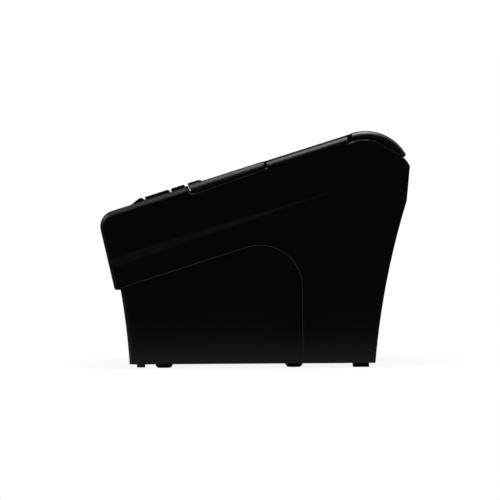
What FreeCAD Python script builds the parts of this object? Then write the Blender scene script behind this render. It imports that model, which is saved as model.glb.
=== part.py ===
import FreeCAD, Part
import math
import os

os.makedirs("parts", exist_ok=True)
V = FreeCAD.Vector

# Housing, in millimetres and degrees. X is the width, measured from the middle, and Z is up.
# Y and places along the deck are measured from the front.
width = 145.0
depth = 193.0
base_height = 2.95
deck_front_height = 96.38
deck_slope = 17.27
wall = 2.5
edge_radius = 3.5
seam_gap = 0.3
cover_gap = 0.5
fit_gap = 0.05
end_gap = 0.4
run_over = 1.0
tolerance = 0.1

# Front of the housing: nose, leaning face and chin.
nose_radius = 10.15
front_lean = 12.9
chin_height = 49.4
chin_radius = 1.5

# Base: front face and side arch.
base_front_top = 12.4
base_front_bottom = 17.7
base_front_hollow = 0.65
base_inset = 0.8
arch_radius = 26.0
arch_centre_y = 99.4
arch_rise = 1.0
seam_bevel = 0.5
lap_rise = 3.0
lap_drop = 2.0

# Rear of the housing.
rear_corner_drop = 7.16
rear_break_drop = 21.45
rear_lean = 5.54
rear_setback = 22.3
rear_hollow = 2.75

# Side panel, set back at the front above a crease that fades towards the rear.
panel_inset = 0.8
crease_front_height = 67.4
crease_slope = 16.4
crease_band = 7.0

# Roll cover, measured along the deck and square to it.
cover_rise = 0.8
cover_front = 57.66
cover_wide_end = 106.71
cover_wide_gap = 1.7
cover_middle_half = 60.0
lip_depth_front = 5.0
lip_depth_rear = 3.4
lip_corner_radius = 4.5
land_setback = 40.85
hump_radius = 29.0
hump_setback = 27.58
hump_gap = 1.3
hump_front_radius = 3.0
hump_tail_radius = 1.4

# Hinge of the cover, and the recess and groove of the casing below it.
recess_radius = 23.7
recess_front_angle = 116.8
recess_rear_angle = 75.0
hinge_angle = 31.0
hinge_depth = 1.65
hinge_pin_radius = 0.75
knuckle_gap = 0.4
tail_wrap = 241.0
tail_seat_drop = 2.6
tail_shoulder_drop = 1.3
tail_shoulder_angle = 20.5
hinge_rail_radius = 5.0
ear_radius = 1.45
ear_inner = 44.0
ear_outer = 52.0
pin_overlap = 4.0

# Openings and ridge in the top of the casing.
exit_gap = 1.6
cover_opening_depth = 9.0
key_opening_depth = 7.5
key_row_half = 62.5
key_row_front = 29.56
ridge_height = 2.3
ridge_front = 19.86
ridge_crest = 25.96
ridge_back = 27.56
ridge_inset = 6.5

# Recess for the sockets in the rear of the casing.
socket_half = 50.0
socket_low = 10.0
socket_high = 46.0
socket_plate_setback = 26.5
frame_wall = 2.0

# Base tray: pegs, board bosses, chassis posts and hatch.
peg_radius = 2.6
peg_drop = 2.35
peg_y = 24.5
peg_inset = 14.5
board_z = 10.0
board_thickness = 1.6
board_gap = 4.0
board_front = 41.5
board_boss_radius = 3.5
board_boss_inset = 5.0
post_gap = 1.8
post_width = 8.0
post_front = 54.5
post_back = 66.5
chassis_drop = 32.38
hatch_length = 44.0
hatch_width = 28.0
hatch_y = 86.5
hatch_ledge = 3.0
hatch_thickness = 1.2
hatch_gap = 0.2

# Screws and the bosses they go into.
screw_head_radius = 3.0
screw_head_height = 1.3
screw_radius = 1.5
screw_gap = 0.3
screw_cross_length = 4.0
screw_cross_width = 0.8
screw_cross_depth = 0.4
screw_inset = 7.5
screw_front_y = 34.5
screw_rear_setback = 40.5
boss_radius = 3.4
boss_join = 12.0
case_screw_length = 12.0
chassis_screw_length = 9.0

# Platen in the arms of the cover, placed along the deck (u) and square to it (v). The paper sets its length.
paper_half = 40.0
platen_u = 64.26
platen_v = -16.0
platen_radius = 7.5
platen_shaft_radius = 2.5
bush_radius = 4.0
arm_gap = 1.5
arm_thickness = 4.0
arm_radius = 6.0

# Steel chassis of the print mechanism.
plate_gap = 0.5
plate_thickness = 1.2
plate_top = -7.0
plate_front = 40.06
plate_back = 74.06
plate_margin = 4.0
slot_gap = 0.3
slot_flare = 1.5
backplate_u = 48.06
backplate_top = -12.0
pan_low = -39.2
pan_back = 57.86

# Gear train from the feed motor to the platen.
gear_module = 0.8
gear_backlash = 0.25
gear_root = 1.25
gear_flank = 20.0
gear_width = 4.4
gear_gap = 1.4
platen_teeth = 20
idler_teeth = 30
pinion_teeth = 12
mesh_gap = 0.1
idler_bearing = 225 + deck_slope
pinion_bearing = 206 + deck_slope
idler_pin_radius = 2.0
idler_pin_proud = 0.6
motor_shaft_radius = 1.5
motor_radius = 12.5
motor_length = 18.0
motor_flange = 1.0
motor_ear_reach = 2.5
motor_ear_half = 5.0

# Thermal head, its heat sink and the leaf spring behind it.
head_gap = 0.2
head_thickness = 0.8
head_low = -28.0
head_high = -11.0
sink_thickness = 3.7
sink_low = -30.0
sink_high = -10.0
lug_inner = 28.0
lug_outer = 32.0
groove_count = 5
groove_pitch = 16.0
groove_half = 2.0
groove_depth = 1.5
groove_low = -27.0
spring_thickness = 0.4
spring_half = 30.0
spring_low = -26.0
spring_height = 9.0

# Cutter: guide block, sliding blade, fixed blade and motor.
blade_travel = 6.5
blade_margin = 1.0
blade_thickness = 0.8
blade_length = 16.0
blade_notch = 3.0
blade_gap = 0.2
moving_blade_v = -5.4
fixed_blade_back = 67.06
cutter_ear = 3.0
cutter_front = 31.06
cutter_back = 55.06
cutter_low = -10.0
cutter_top = -3.2
cutter_ear_front = 39.06
cutter_ear_back = 47.06
cutter_motor_left = -36.0
cutter_motor_right = -6.0
cutter_motor_u = 39.06
cutter_motor_v = -18.5
cutter_motor_radius = 7.5
cutter_mount_margin = 2.0
cutter_mount_back = 45.06
cutter_mount_low = -13.0

# Latch with its two catches and the lever under the release key.
latch_u = 55.86
latch_v = -33.5
latch_shaft_radius = 1.5
latch_boss_radius = 3.0
catch_side_gap = 0.5
catch_thickness = 1.5
catch_gap = 0.4
catch_foot = 2.2
catch_neck = 0.8
catch_depth = 3.0
catch_throat = 1.8
lever_gap = 1.8
lever_width = 4.0
lever_tip = 38.26
lever_bend = 42.86
lever_top = -30.0
lever_low = -33.0

# Inner frame of the cover.
liner_inset = 3.0
liner_rib = 3.0
liner_low = -5.0
liner_setback = 46.05
liner_front = 68.06
pane_half = 18.0

# Toothed tear bar on the front edge of the cover.
tear_back = 67.36
tear_ramp = 2.5
tear_edge = 0.5
tear_pitch = 3.0
tear_tooth = 0.9

# Key row in front of the paper slot: exit frame, panel, flap over the cutter, keys and lamps.
row_height = 2.2
row_back = 44.86
exit_front = 46.56
exit_back = 55.56
exit_radius = 1.0
panel_left = 18.0
tray_top = -0.8
access_left = -30.0
access_right = 5.0
access_margin = 4.0
flap_left = -45.6
flap_ear = 1.0
flap_gap = 0.3
flap_nose_radius = 1.3
flap_pin_radius = 0.7
flap_pin_reach = 0.8
feed_key_x = 48.0
feed_key_half = 7.7
feed_key_front = 33.86
feed_key_back = 40.26
feed_key_low = 0.2
feed_key_travel = 1.0
key_gap = 0.4
key_edge = 0.5
stop_gap = 0.2
release_low = -0.8
stem_front = 38.56
stem_back = 42.56
lens_radius = 1.5
lens_height = 2.0
lens_u = 37.06
lens_places = (24.0, 29.0, 34.0)

# Paper roll tray with flanges that close the casing around it.
roll_drop = 14.38
bucket_front = 71.0
bucket_setback = 35.0
bucket_margin = 1.5
bucket_wall = 2.0
bucket_rim = -8.0
bucket_front_u = 73.06
bucket_lip_rise = 6.0
bucket_wall_rise = 54.0
sensor_depth = 4.0
sensor_ahead = 12.0
sensor_length = 14.0
sensor_drop = 24.0
sensor_height = 10.0

# Sockets behind the rear plate: each one's place across the width, its width and its height.
sockets = {"power_inlet": (-36.0, 14.0, 13.0), "drawer_socket": (-12.0, 15.0, 13.0),
           "usb_socket": (10.0, 12.0, 11.0), "lan_socket": (33.0, 16.0, 13.5)}
socket_depth = 14.0
socket_proud = 0.6
socket_gap = 0.3
plate_sheet = 1.0
jack_wall = 1.5
jack_floor = 2.0
tongue_half = 2.8
tongue_half_height = 1.6
tongue_setback = 1.5
inlet_radius = 5.0
inlet_pins = 3
inlet_pin_radius = 0.6
inlet_pin_length = 9.0
inlet_pin_circle = 2.5

# Power switch in the front of the base.
switch_inset = 23.0
switch_width = 21.0
switch_z = 27.5
switch_height = 15.0
switch_front = 17.0
switch_depth = 17.0
switch_wall = 1.4
switch_room = 4.0
rocker_y = 23.0
rocker_tilt = 7.0
rocker_half = 5.0
rocker_tip = 6.2
rocker_valley = 4.6
rocker_back = 1.0
rocker_hub = 2.0
rocker_pin_radius = 1.0
rocker_pin_reach = 1.0
rocker_gap = 0.3

# Feet.
foot_inset = 22.5
foot_rows = (38.7, 120.4)
foot_top_radius = 5.5
foot_base_radius = 3.9
foot_swell_radius = 5.05
foot_swell_height = 1.03
rear_foot_setback = 35.5
rear_foot_length = 9.8
rear_foot_inset = 12.5
rear_foot_width = 16.0

slope = math.radians(deck_slope)
deck_length = depth / math.cos(slope)
half_width = width / 2
rear_bottom = depth - rear_setback
land_end = deck_length - land_setback
liner_back = deck_length - liner_setback
liner_half = cover_middle_half - liner_inset
ridge_half = half_width - ridge_inset
blade_half = paper_half + blade_margin
arm_inner = blade_half + arm_gap
arm_outer = arm_inner + arm_thickness
catch_inner = arm_outer + catch_side_gap
catch_outer = catch_inner + catch_thickness
plate_inner = catch_outer + plate_gap
plate_outer = plate_inner + plate_thickness
cutter_half = plate_inner - cutter_ear
gear_start = plate_outer + gear_gap
lever_inner = -plate_outer - lever_gap
lever_outer = lever_inner - lever_width
post_inner = plate_outer + post_gap
post_outer = post_inner + post_width
board_half = post_inner - board_gap
bucket_half = paper_half + bucket_margin
bucket_radius = (depth - bucket_front - bucket_setback) / 2
roll_y = bucket_front + bucket_radius
roll_z = deck_front_height - roll_drop
chassis_z = deck_front_height - chassis_drop
socket_plate_y = depth - socket_plate_setback
switch_x = switch_inset - half_width
screw_x = half_width - screw_inset
screw_rear_y = depth - screw_rear_setback
inner_half = half_width - wall
base_half = half_width - base_inset
floor_top = base_height + wall
cover_tangent = 90 + deck_slope
cover_underside = cover_rise - wall


def point(y, z):
    return V(0, y, z)


def deck(u, v):
    """Point at u along the deck from its front and v above its surface."""
    return point(u * math.cos(slope) - v * math.sin(slope),
                 deck_front_height + u * math.sin(slope) + v * math.cos(slope))


def deck_at(y, v):
    """Point v above the deck surface at the depth y."""
    return deck((y + v * math.sin(slope)) / math.cos(slope), v)


def polar(centre, radius, degrees):
    angle = math.radians(degrees)
    return centre + point(radius * math.cos(angle), radius * math.sin(angle))


def hollow_middle(start, end, sag):
    """Middle of a shallow arc that lies sag to the left of the line from start to end."""
    along = (end - start).normalize()
    return (start + end) * 0.5 + point(-along.z, along.y) * sag


class Outline:
    """Closed outline across the width, drawn with lines, arcs and rounded corners."""

    def __init__(self, start):
        self.start = start
        self.at = start
        self.edges = []

    def line(self, *ends):
        for end in ends:
            self.edges.append(Part.LineSegment(self.at, end).toShape())
            self.at = end
        return self

    def arc(self, through, end):
        self.edges.append(Part.Arc(self.at, through, end).toShape())
        self.at = end
        return self

    def turn(self, corner, after, radius):
        before = (self.at - corner).normalize()
        beyond = (after - corner).normalize()
        half = before.getAngle(beyond) / 2
        reach = radius / math.tan(half)
        centre = corner + (before + beyond).normalize() * (radius / math.sin(half))
        middle = centre + (corner - centre).normalize() * radius
        self.line(corner + before * reach)
        return self.arc(middle, corner + beyond * reach)

    def face(self):
        if self.at.distanceToPoint(self.start) > 1e-6:
            self.line(self.start)
        return Part.Face(Part.Wire(self.edges))

    def prism(self, x0, x1):
        return extruded(self.face(), x0, x1)


def extruded(face, x0, x1):
    placed = face.copy()
    placed.translate(V(x0, 0, 0))
    return placed.extrude(V(x1 - x0, 0, 0))


def mirrored(shape):
    return shape.mirror(V(0, 0, 0), V(1, 0, 0))


def both_sides(shape):
    return [shape, mirrored(shape)]


def block(x0, x1, y0, y1, z0, z1):
    return Part.makeBox(x1 - x0, y1 - y0, z1 - z0, V(x0, y0, z0))


def deck_block(x0, x1, u0, u1, v0, v1):
    """Block square to the deck."""
    return Outline(deck(u0, v0)).line(deck(u1, v0), deck(u1, v1), deck(u0, v1)).prism(x0, x1)


def rod(x0, x1, centre, radius):
    """Round bar across the width."""
    return Part.makeCylinder(radius, x1 - x0, V(x0, centre.y, centre.z), V(1, 0, 0))


def edge_middle(edge):
    return edge.valueAt((edge.FirstParameter + edge.LastParameter) / 2)


def rounded(solid, radius, chosen):
    return solid.makeFillet(radius, [edge for edge in solid.Edges if chosen(edge)])


def save(name, *solids):
    """Writes a node, moved so that the middle of the depth is at the origin."""
    shape = solids[0] if len(solids) == 1 else Part.makeCompound(list(solids))
    shape.translated(V(0, -depth / 2, 0)).exportStep("parts/" + name + ".step")


# Places that several mouldings share.
nose_centre = deck_at(nose_radius, -nose_radius)
nose_top = polar(nose_centre, nose_radius, 90 + deck_slope)
nose_low = polar(nose_centre, nose_radius, 180 + front_lean)
nose_middle = polar(nose_centre, nose_radius, 135 + (deck_slope + front_lean) / 2)
chin_drop = nose_low.z - chin_height
chin_corner = point(nose_low.y + chin_drop * math.tan(math.radians(front_lean)), chin_height)
chin_back = point(base_front_top - seam_gap, chin_height)
arch_start = point(base_front_top + seam_gap, chin_height + arch_rise)
arch_centre = point(arch_centre_y, arch_start.z)
arch_lean = math.degrees(math.asin(arch_radius / (arch_centre.y - arch_start.y)))
arch_tangent = polar(arch_centre, arch_radius, 90 + arch_lean)
arch_middle = polar(arch_centre, arch_radius, 45 + arch_lean / 2)
arch_end = polar(arch_centre, arch_radius, 0)
hump_centre = deck_at(depth - hump_setback, cover_rise - hump_radius)
hinge_axis = polar(hump_centre, hump_radius - hinge_depth, hinge_angle)
rear_corner = point(depth, hinge_axis.z - rear_corner_drop)
rear_break = rear_corner - point(rear_break_drop * math.tan(math.radians(rear_lean)), rear_break_drop)
rear_foot = point(rear_bottom, base_height)
recess_start = polar(hump_centre, recess_radius, recess_front_angle)
recess_middle = polar(hump_centre, recess_radius, (recess_front_angle + recess_rear_angle) / 2)
recess_end = polar(hump_centre, recess_radius, recess_rear_angle)
tail_seat = polar(hump_centre, hump_radius - tail_seat_drop, hinge_angle)
tail_shoulder = polar(hump_centre, hump_radius - tail_shoulder_drop, tail_shoulder_angle)


def base_front(outline):
    """Slightly hollow front face of the base, drawn downwards."""
    low = point(base_front_bottom, base_height)
    return outline.arc(hollow_middle(outline.at, low, base_front_hollow), low)


def rear_wall(outline):
    """Rear face, drawn upwards from the foot to the top corner."""
    outline.arc(hollow_middle(rear_foot, rear_break, rear_hollow), rear_break)
    return outline.line(rear_corner)


def case_top(outline):
    """Top of the casing, from the rear corner forwards to the nose."""
    outline.line(tail_shoulder, tail_seat, recess_end).arc(recess_middle, recess_start)
    return outline.line(deck(land_end, 0), nose_top).arc(nose_middle, nose_low)


def on_long_side(edge):
    """True for the side edges of the nose, deck and front face."""
    middle = edge_middle(edge)
    if abs(middle.x) < half_width - panel_inset - tolerance:
        return False
    ahead = middle.y < nose_centre.y and middle.z > chin_height + run_over
    on_deck = abs(deck_at(middle.y, 0).z - middle.z) < tolerance
    return ahead or on_deck


def side_shave(inset):
    """Wedges that set the sides back by inset at the front, fading at the end of the deck."""
    fade = deck(land_end, 0).y
    corners = [V(half_width - inset, 0, 0), V(half_width, fade, 0), V(width, fade, 0), V(width, 0, 0),
               V(half_width - inset, 0, 0)]
    plan = Part.Face(Part.makePolygon(corners))
    return both_sides(plan.extrude(V(0, 0, width * 2)))


def housing(inset):
    """Solid form of the upper casing with rounded side edges."""
    chin_step = point(chin_back.y, arch_start.z)
    outline = Outline(nose_low).line(chin_corner, chin_back, chin_step, arch_start, arch_tangent)
    outline.arc(arch_middle, arch_end).line(point(arch_end.y, base_height), rear_foot)
    solid = case_top(rear_wall(outline)).prism(-half_width, half_width)
    if inset:
        solid = solid.cut(side_shave(inset))
    return rounded(solid, edge_radius, on_long_side)


def crease_at(y):
    return point(y, crease_front_height + y * math.tan(math.radians(crease_slope)))


def above_crease():
    """Space above the crease line of the side panels."""
    front = -run_over
    outline = Outline(crease_at(front)).line(crease_at(depth))
    return outline.line(point(depth, width * 2), point(front, width * 2)).prism(-width, width)


def below_crease_slope():
    """Wedge outside the sloping band below the crease, tallest at the front and fading to a point."""
    tip = crease_at(deck(land_end, 0).y) + V(half_width, 0, 0)
    top = crease_at(0) + V(half_width - panel_inset, 0, 0)
    foot = crease_at(0) + V(half_width, 0, -crease_band)
    up = (top - foot).normalize() * run_over
    high = top + up + (top - tip).normalize() * run_over
    low = foot - up + (foot - tip).normalize() * run_over
    out = V(low.x + run_over, high.y, high.z)
    corners = [(high, low, tip), (high, out, tip), (low, out, tip), (high, low, out)]
    faces = [Part.Face(Part.makePolygon([a, b, c, a])) for a, b, c in corners]
    return Part.Solid(Part.Shell(faces))


# Upper casing: one hollow moulding with openings for the cover, the key row and the sockets.


def silhouette():
    """Outline of the closed housing, base included."""
    outline = Outline(nose_low).line(chin_corner, point(base_front_top, chin_height))
    base_front(outline).line(rear_foot)
    return case_top(rear_wall(outline)).face()


def lip_region(front, rear, extra, top):
    """Side outline of the wide front of the cover, grown downwards by extra."""
    low_front = deck(front, -lip_depth_front - extra)
    low_rear = deck(rear, -lip_depth_rear - extra)
    outline = Outline(deck(front, top)).turn(low_front, low_rear, lip_corner_radius + extra)
    return outline.line(low_rear, deck(rear, top))


def chin_sliver():
    """What the rounding of the chin takes off its corner."""
    reach = chin_radius * 3
    start = chin_corner + (nose_low - chin_corner).normalize() * reach
    end = chin_corner + (chin_back - chin_corner).normalize() * reach
    kept = Outline(start).turn(chin_corner, end, chin_radius).line(end).prism(-width, width)
    return Outline(start).line(chin_corner, end).prism(-width, width).cut(kept)


def hinge_ear(x0, x1):
    """Casing ear that carries the cover's pin, rising from the hinge rail."""
    down = polar(V(0, 0, 0), 1, hinge_angle + 180)
    aside = polar(V(0, 0, 0), ear_radius, hinge_angle + 90)
    foot = hinge_axis + down * (hinge_depth + knuckle_gap + run_over)
    web = Outline(hinge_axis + aside).line(hinge_axis - aside, foot - aside, foot + aside)
    return web.prism(x0, x1).fuse(rod(x0, x1, hinge_axis, ear_radius))


def socket_frame():
    """Walls that lead from the rear face in to the socket plate."""
    return block(-socket_half - frame_wall, socket_half + frame_wall, socket_plate_y, depth,
                 socket_low - frame_wall, socket_high + frame_wall)


def screw_places():
    return [(x, y) for x in (-screw_x, screw_x) for y in (screw_front_y, screw_rear_y)]


def screw_bosses():
    """Pillars that stand on the floor of the base and join the side walls."""
    pieces = []
    for x, y in screw_places():
        join_z = arch_tangent.z if y < arch_centre.y else floor_top
        top = join_z + boss_join
        pieces.append(Part.makeCylinder(boss_radius, top - floor_top, V(x, y, floor_top)))
        near, far = sorted((x, math.copysign(inner_half + tolerance, x)))
        pieces.append(block(near, far, y - wall / 2, y + wall / 2, join_z, top))
    return pieces


def side_at(y, inset):
    """Half the width of the casing where its sides are set back by inset at the front."""
    return half_width - inset * max(0, 1 - y / deck(land_end, 0).y)


def bevel_profile(corner, away):
    """Triangle that bevels a side edge at corner, where away points into the side, square to the edge."""
    aside = V(1, 0, 0)
    reach = seam_bevel + 2 * run_over
    tip = corner + (aside - away) * run_over
    return Part.Face(Part.makePolygon([tip, tip + away * reach, tip - aside * reach, tip]))


def bevels(outline, inset):
    """Cuts that bevel the side edges along an outline drawn with the casing on its left."""
    cuts = []
    for edge in outline.edges:
        start = edge.valueAt(edge.FirstParameter)
        end = edge.valueAt(edge.LastParameter)
        start.x = side_at(start.y, inset)
        end.x = side_at(end.y, inset)
        away = V(1, 0, 0).cross(edge.tangentAt(edge.FirstParameter))
        profile = bevel_profile(start, away)
        if isinstance(edge.Curve, Part.Circle):
            sweep = math.degrees(edge.LastParameter - edge.FirstParameter)
            cuts += both_sides(profile.revolve(edge.Curve.Center, edge.Curve.Axis, sweep))
        else:
            cuts += both_sides(profile.extrude(end - start))
    return cuts


def seam_bevels():
    """Bevels above the arch of the base, below the lips of the cover and below its rear end."""
    arch = Outline(arch_start).line(arch_tangent).arc(arch_middle, arch_end).line(point(arch_end.y, 0))
    front = cover_front - exit_gap
    low_front = deck(front, -lip_depth_front - cover_gap)
    low_rear = deck(cover_wide_end + cover_wide_gap, -lip_depth_rear - cover_gap)
    lip = Outline(low_rear).turn(low_front, deck(front, 0), lip_corner_radius + cover_gap)
    recess = Outline(tail_seat).line(recess_end).arc(recess_middle, recess_start).line(deck(land_end, 0))
    return bevels(arch, 0) + bevels(lip, panel_inset) + bevels(recess, 0)


def make_upper_case():
    lower = housing(0).cut([above_crease()] + both_sides(below_crease_slope()))
    form = lower.fuse(housing(panel_inset).common(above_crease()))
    form = form.cut([chin_sliver()] + seam_bevels())
    cavity = extruded(silhouette().makeOffset2D(-wall), -inner_half, inner_half)
    underside = block(-inner_half, inner_half, 0, rear_bottom - wall, 0, floor_top + run_over)
    shell = form.cut([cavity, underside])
    shell = shell.fuse([form.common(rod(-inner_half, inner_half, hinge_axis, hinge_rail_radius)),
                        form.common(socket_frame())])
    ridge = Outline(deck(ridge_front, 0))
    ridge.line(deck(ridge_crest, ridge_height), deck(ridge_back, ridge_height))
    ridge.line(deck(ridge_back, -run_over), deck(ridge_front, -run_over))
    shell = shell.fuse(ridge.prism(-ridge_half, ridge_half))
    middle_half = cover_middle_half + cover_gap
    case_front = cover_front - exit_gap
    shell = shell.cut([
        lip_region(case_front, cover_wide_end + cover_wide_gap, cover_gap, nose_radius).prism(-width, width),
        deck_block(-middle_half, middle_half, cover_wide_end, land_end + wall / 2,
                   -cover_opening_depth, nose_radius),
        deck_block(-key_row_half, key_row_half, key_row_front, case_front + run_over,
                   -key_opening_depth, nose_radius),
        rod(-width, width, hinge_axis, hinge_depth + knuckle_gap),
        block(-socket_half, socket_half, socket_plate_y - run_over, depth, socket_low, socket_high)])
    shell = shell.fuse(both_sides(hinge_ear(ear_inner, ear_outer)) + screw_bosses())
    holes = both_sides(rod(ear_inner - run_over, ear_outer + run_over, hinge_axis, hinge_pin_radius))
    bore_depth = case_screw_length + screw_head_height + run_over
    for x, y in screw_places():
        holes.append(Part.makeCylinder(screw_radius, bore_depth, V(x, y, base_height)))
    return shell.cut(holes)


save("upper_case", make_upper_case())


# Base: tray below the arch with a floor that runs back inside the upper casing.
chassis_screw_x = (post_inner + post_outer) / 2
chassis_screw_y = (post_front + post_back) / 2


def base_outline():
    """Side outline of the tray, up to the arch and the back of the chin."""
    top = chin_height + arch_rise - seam_gap
    outline = Outline(point(base_front_top, top)).line(point(base_front_top, chin_height))
    base_front(outline).line(point(arch_end.y - seam_gap, base_height))
    outline.line(point(arch_end.y - seam_gap, arch_end.z))
    tray_radius = arch_radius - seam_gap
    tangent = polar(arch_centre, tray_radius, 90 + arch_lean)
    outline.arc(polar(arch_centre, tray_radius, 45 + arch_lean / 2), tangent)
    rise = (arch_tangent.z - arch_start.z) / (arch_tangent.y - arch_start.y)
    return outline.line(point(tangent.y + (top - tangent.z) / rise, top))


def board_corners():
    side = board_half - board_boss_inset
    rows = [board_front + board_boss_inset, socket_plate_y - 3 * board_boss_inset]
    return [(x, y) for x in (-side, side) for y in rows]


def on_base_front(edge):
    """True for the two upright edges of the front face."""
    middle = edge_middle(edge)
    upright = middle.y < base_front_bottom and middle.z < chin_height - run_over
    return upright and abs(middle.x) > base_half - tolerance


def tray_room():
    """Space inside the tray, open at the top and the rear."""
    top = chin_height * 3
    low = point(base_front_bottom + wall, floor_top)
    room = Outline(point(base_front_top + wall, top)).line(point(base_front_top + wall, chin_height))
    room.arc(hollow_middle(room.at, low, base_front_hollow), low)
    room.line(point(depth, floor_top), point(depth, top))
    return room.prism(-base_half + wall, base_half - wall)


def hatch_block(grow, z0, z1):
    """Block the size of the hatch, grown all round."""
    half = hatch_length / 2 + grow
    reach = hatch_width / 2 + grow
    return block(-half, half, hatch_y - reach, hatch_y + reach, z0, z1)


def seam_point(radius, y):
    """Point at y on the straight front of a seam line that rounds the arch at radius."""
    tangent = polar(arch_centre, radius, 90 + arch_lean)
    return point(y, tangent.z - (tangent.y - y) * math.tan(math.radians(arch_lean)))


def seam_lap():
    """Band behind the arched seam, fixed to the tray and rising inside the upper casing."""
    inner = arch_radius - lap_drop
    outer = arch_radius + lap_rise
    front = base_front_top + wall + seam_gap
    bend_middle = 45 + arch_lean / 2
    bend_front = 90 + arch_lean
    outline = Outline(seam_point(outer, front)).line(polar(arch_centre, outer, bend_front))
    outline.arc(polar(arch_centre, outer, bend_middle), polar(arch_centre, outer, 0))
    outline.line(point(arch_centre.y + outer, floor_top), point(arch_centre.y + inner, floor_top))
    outline.line(polar(arch_centre, inner, 0))
    outline.arc(polar(arch_centre, inner, bend_middle), polar(arch_centre, inner, bend_front))
    outline.line(seam_point(inner, front))
    face = inner_half - seam_gap
    return both_sides(outline.prism(face - wall, face))


def make_lower_case():
    tray = base_outline().prism(-base_half, base_half)
    tray = rounded(tray, edge_radius, on_base_front).cut(tray_room())
    floor_half = inner_half - seam_gap
    pieces = [block(-floor_half, floor_half, arch_end.y - wall, rear_bottom - wall - seam_gap,
                    base_height, floor_top)]
    pieces += seam_lap()
    in_floor = base_height + wall / 2
    for x, y in board_corners():
        pieces.append(Part.makeCylinder(board_boss_radius, board_z - in_floor, V(x, y, in_floor)))
    peg_x = half_width - peg_inset
    for x in (-peg_x, peg_x):
        pieces.append(Part.makeCylinder(peg_radius, peg_drop + run_over, V(x, peg_y, base_height - peg_drop)))
    pieces += both_sides(block(post_inner, post_outer, post_front, post_back, in_floor, chassis_z))
    cuts = [Part.makeCylinder(boss_radius + seam_gap, depth, V(x, y, floor_top)) for x, y in screw_places()]
    cuts += [hatch_block(0, 0, base_height + hatch_thickness),
            hatch_block(-hatch_ledge, 0, floor_top + run_over),
            block(switch_x - switch_width / 2, switch_x + switch_width / 2,
                  base_front_top - run_over, base_front_bottom + 2 * wall,
                  switch_z - switch_height / 2, switch_z + switch_height / 2)]
    for side in (-1, 1):
        low = V(side * chassis_screw_x, chassis_screw_y, chassis_z - chassis_screw_length)
        cuts.append(Part.makeCylinder(screw_radius, chassis_screw_length + run_over, low))
    for x, y in screw_places():
        cuts.append(Part.makeCylinder(screw_radius + screw_gap, floor_top + run_over, V(x, y, 0)))
        head_room = screw_head_radius + screw_gap
        cuts.append(Part.makeCylinder(head_room, base_height + screw_head_height, V(x, y, 0)))
    return tray.fuse(pieces).cut(cuts)


save("lower_case", make_lower_case())


# Roll cover: wide lipped front, narrow middle between the casing's lands, crescent at the hinge.


def crescent_outline():
    """Side outline of the rear end, which wraps round the hinge."""
    inner_radius = recess_radius + hump_gap
    outer_end = polar(hump_centre, hump_radius, hinge_angle)
    outline = Outline(polar(hump_centre, hump_radius, cover_tangent))
    outline.arc(polar(hump_centre, hump_radius, (cover_tangent + hinge_angle) / 2), outer_end)
    outline.arc(polar(hinge_axis, hinge_depth, hinge_angle - tail_wrap / 2),
                polar(hinge_axis, hinge_depth, hinge_angle - tail_wrap))
    outline.line(polar(hump_centre, inner_radius, recess_rear_angle))
    return outline.arc(polar(hump_centre, inner_radius, (recess_rear_angle + cover_tangent) / 2),
                       polar(hump_centre, inner_radius, cover_tangent))


def on_hump(edge):
    middle = edge_middle(edge)
    reach = (middle - V(middle.x, hump_centre.y, hump_centre.z)).Length
    return abs(abs(middle.x) - half_width) < tolerance and abs(reach - hump_radius) < tolerance


def on_cover_side(edge):
    middle = edge_middle(edge)
    on_top = abs(deck_at(middle.y, cover_rise).z - middle.z) < tolerance
    return on_top and abs(middle.x) > half_width - panel_inset - tolerance


def under_cover(half, front, back):
    """Space below the plate of the cover."""
    return deck_block(-half, half, front, back, -nose_radius, cover_underside)


def make_cover():
    front = lip_region(cover_front, cover_wide_end, 0, cover_rise).prism(-half_width, half_width)
    front = rounded(front.cut(side_shave(panel_inset)), edge_radius, on_cover_side)
    hollow_front = cover_front + wall
    hollow_back = cover_wide_end - wall
    front = front.cut([
        under_cover(half_width - panel_inset - wall, hollow_front, hollow_back),
        under_cover(key_row_half - wall, cover_front - run_over, hollow_front + run_over),
        under_cover(cover_middle_half - wall, hollow_back - run_over, cover_wide_end + run_over)])
    tangent_u = hump_centre.y * math.cos(slope) + (hump_centre.z - deck_front_height) * math.sin(slope)
    middle = deck_block(-cover_middle_half, cover_middle_half, hollow_back, tangent_u,
                        cover_underside, cover_rise)
    crescent = crescent_outline().prism(-half_width, half_width)
    hump_edges = [edge for edge in crescent.Edges if on_hump(edge)]
    crescent = crescent.makeFillet(hump_front_radius, hump_tail_radius, hump_edges)
    ear_room = rod(ear_inner - knuckle_gap, ear_outer + knuckle_gap, hinge_axis, hinge_depth + knuckle_gap)
    bore_reach = pin_overlap + end_gap
    bore = rod(ear_inner - bore_reach, ear_outer + bore_reach, hinge_axis, hinge_pin_radius + fit_gap)
    return front.fuse([middle, crescent]).cut(both_sides(ear_room) + both_sides(bore))


save("paper_cover", make_cover())
hinge_pin = rod(ear_inner - pin_overlap, ear_outer + pin_overlap, hinge_axis, hinge_pin_radius)
save("hinge_pins", *both_sides(hinge_pin))


# Print mechanism: platen, gear train, feed motor and the steel chassis that carries them.
platen_axis = deck(platen_u, platen_v)
head_face = platen_u - platen_radius - head_gap
platen_pitch = gear_module * platen_teeth / 2
idler_pitch = gear_module * idler_teeth / 2
pinion_pitch = gear_module * pinion_teeth / 2
idler_axis = polar(platen_axis, platen_pitch + idler_pitch + mesh_gap, idler_bearing)
motor_axis = polar(idler_axis, idler_pitch + pinion_pitch + mesh_gap, pinion_bearing)
latch_axis = deck(latch_u, latch_v)


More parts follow.
